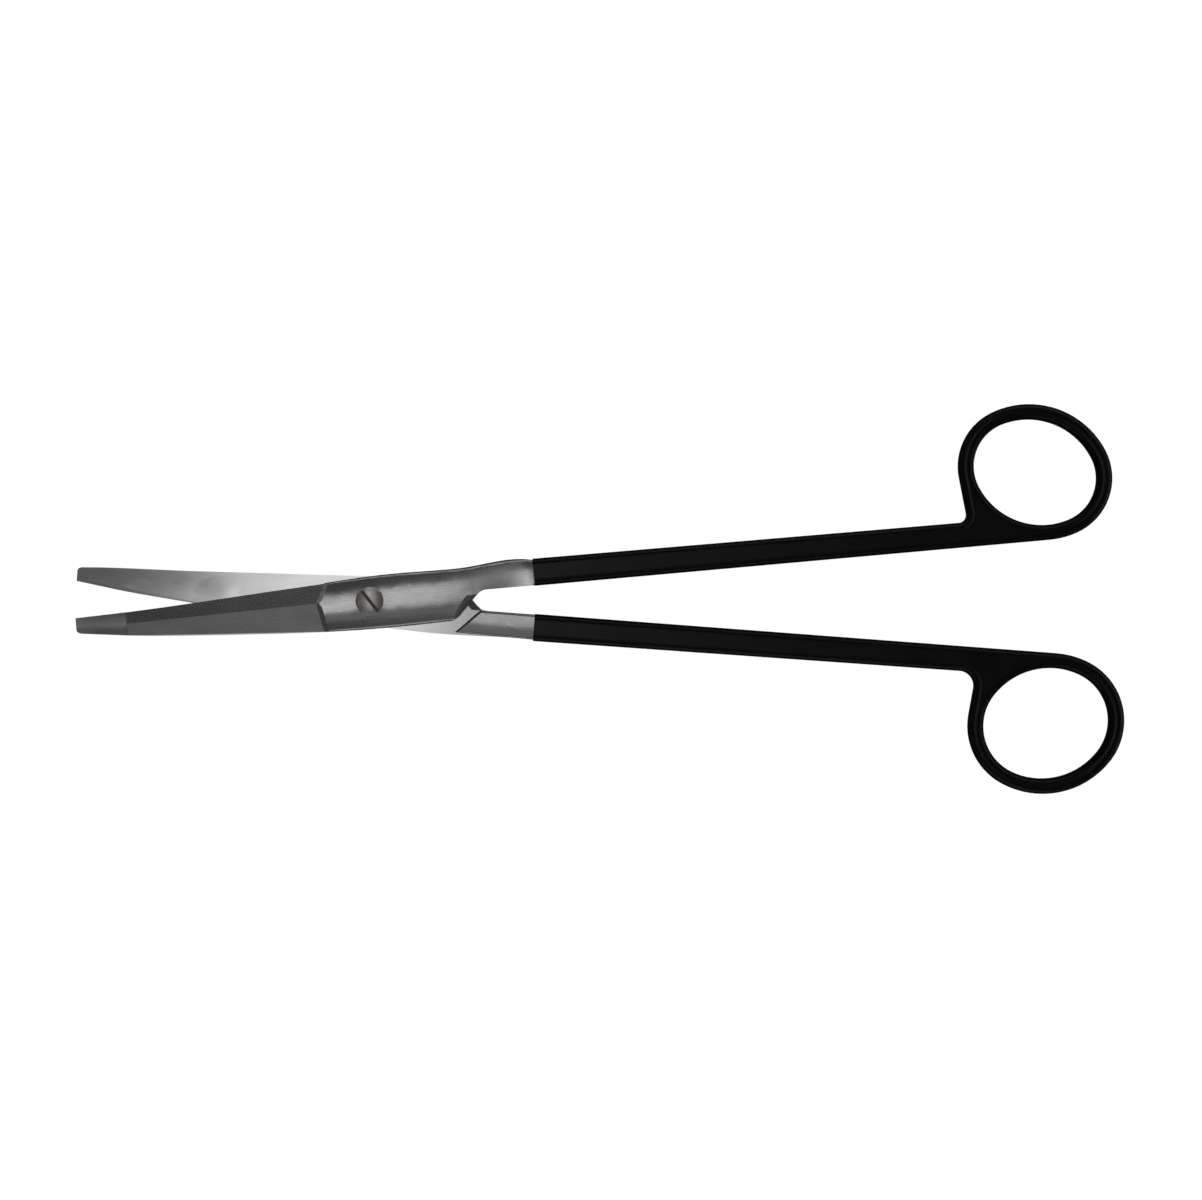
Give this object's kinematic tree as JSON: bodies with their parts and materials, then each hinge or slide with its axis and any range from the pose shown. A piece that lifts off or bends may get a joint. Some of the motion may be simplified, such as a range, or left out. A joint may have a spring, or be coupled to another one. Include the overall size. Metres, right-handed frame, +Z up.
{
  "type": "body contouring scissors",
  "caption": "Long, slender surgical scissors with straight blunt-ended blades, a screwed lap joint and black-coated shanks ending in oval finger rings.",
  "frame": {"origin": "on the pivot axis, at the flat tail of the screw on the underside", "axes": "+X from the pivot towards the finger rings along the scissors' centre line, +Z up along the pivot axis, out of the screw's slotted head"},
  "size_m": [0.2272, 0.0846, 0.006],
  "materials": {
    "satin_steel": "satin, fine grain along the blades",
    "black_coating": "glossy black coat",
    "screw_steel": "turned, slightly duller than the halves"
  },
  "bodies": {
    "rear": {"rear_half": "satin_steel", "rear_handle_coating": "black_coating", "pivot_screw": "screw_steel"},
    "front": {"front_half": "satin_steel", "front_handle_coating": "black_coating"}
  },
  "joints": [
    {"name": "pivot", "type": "hinge", "parent": "rear", "child": "front", "pos_m": [0, 0, 0.003], "axis": [0, 0, 1], "range_deg": [-9.4, 80.6]}
  ]
}
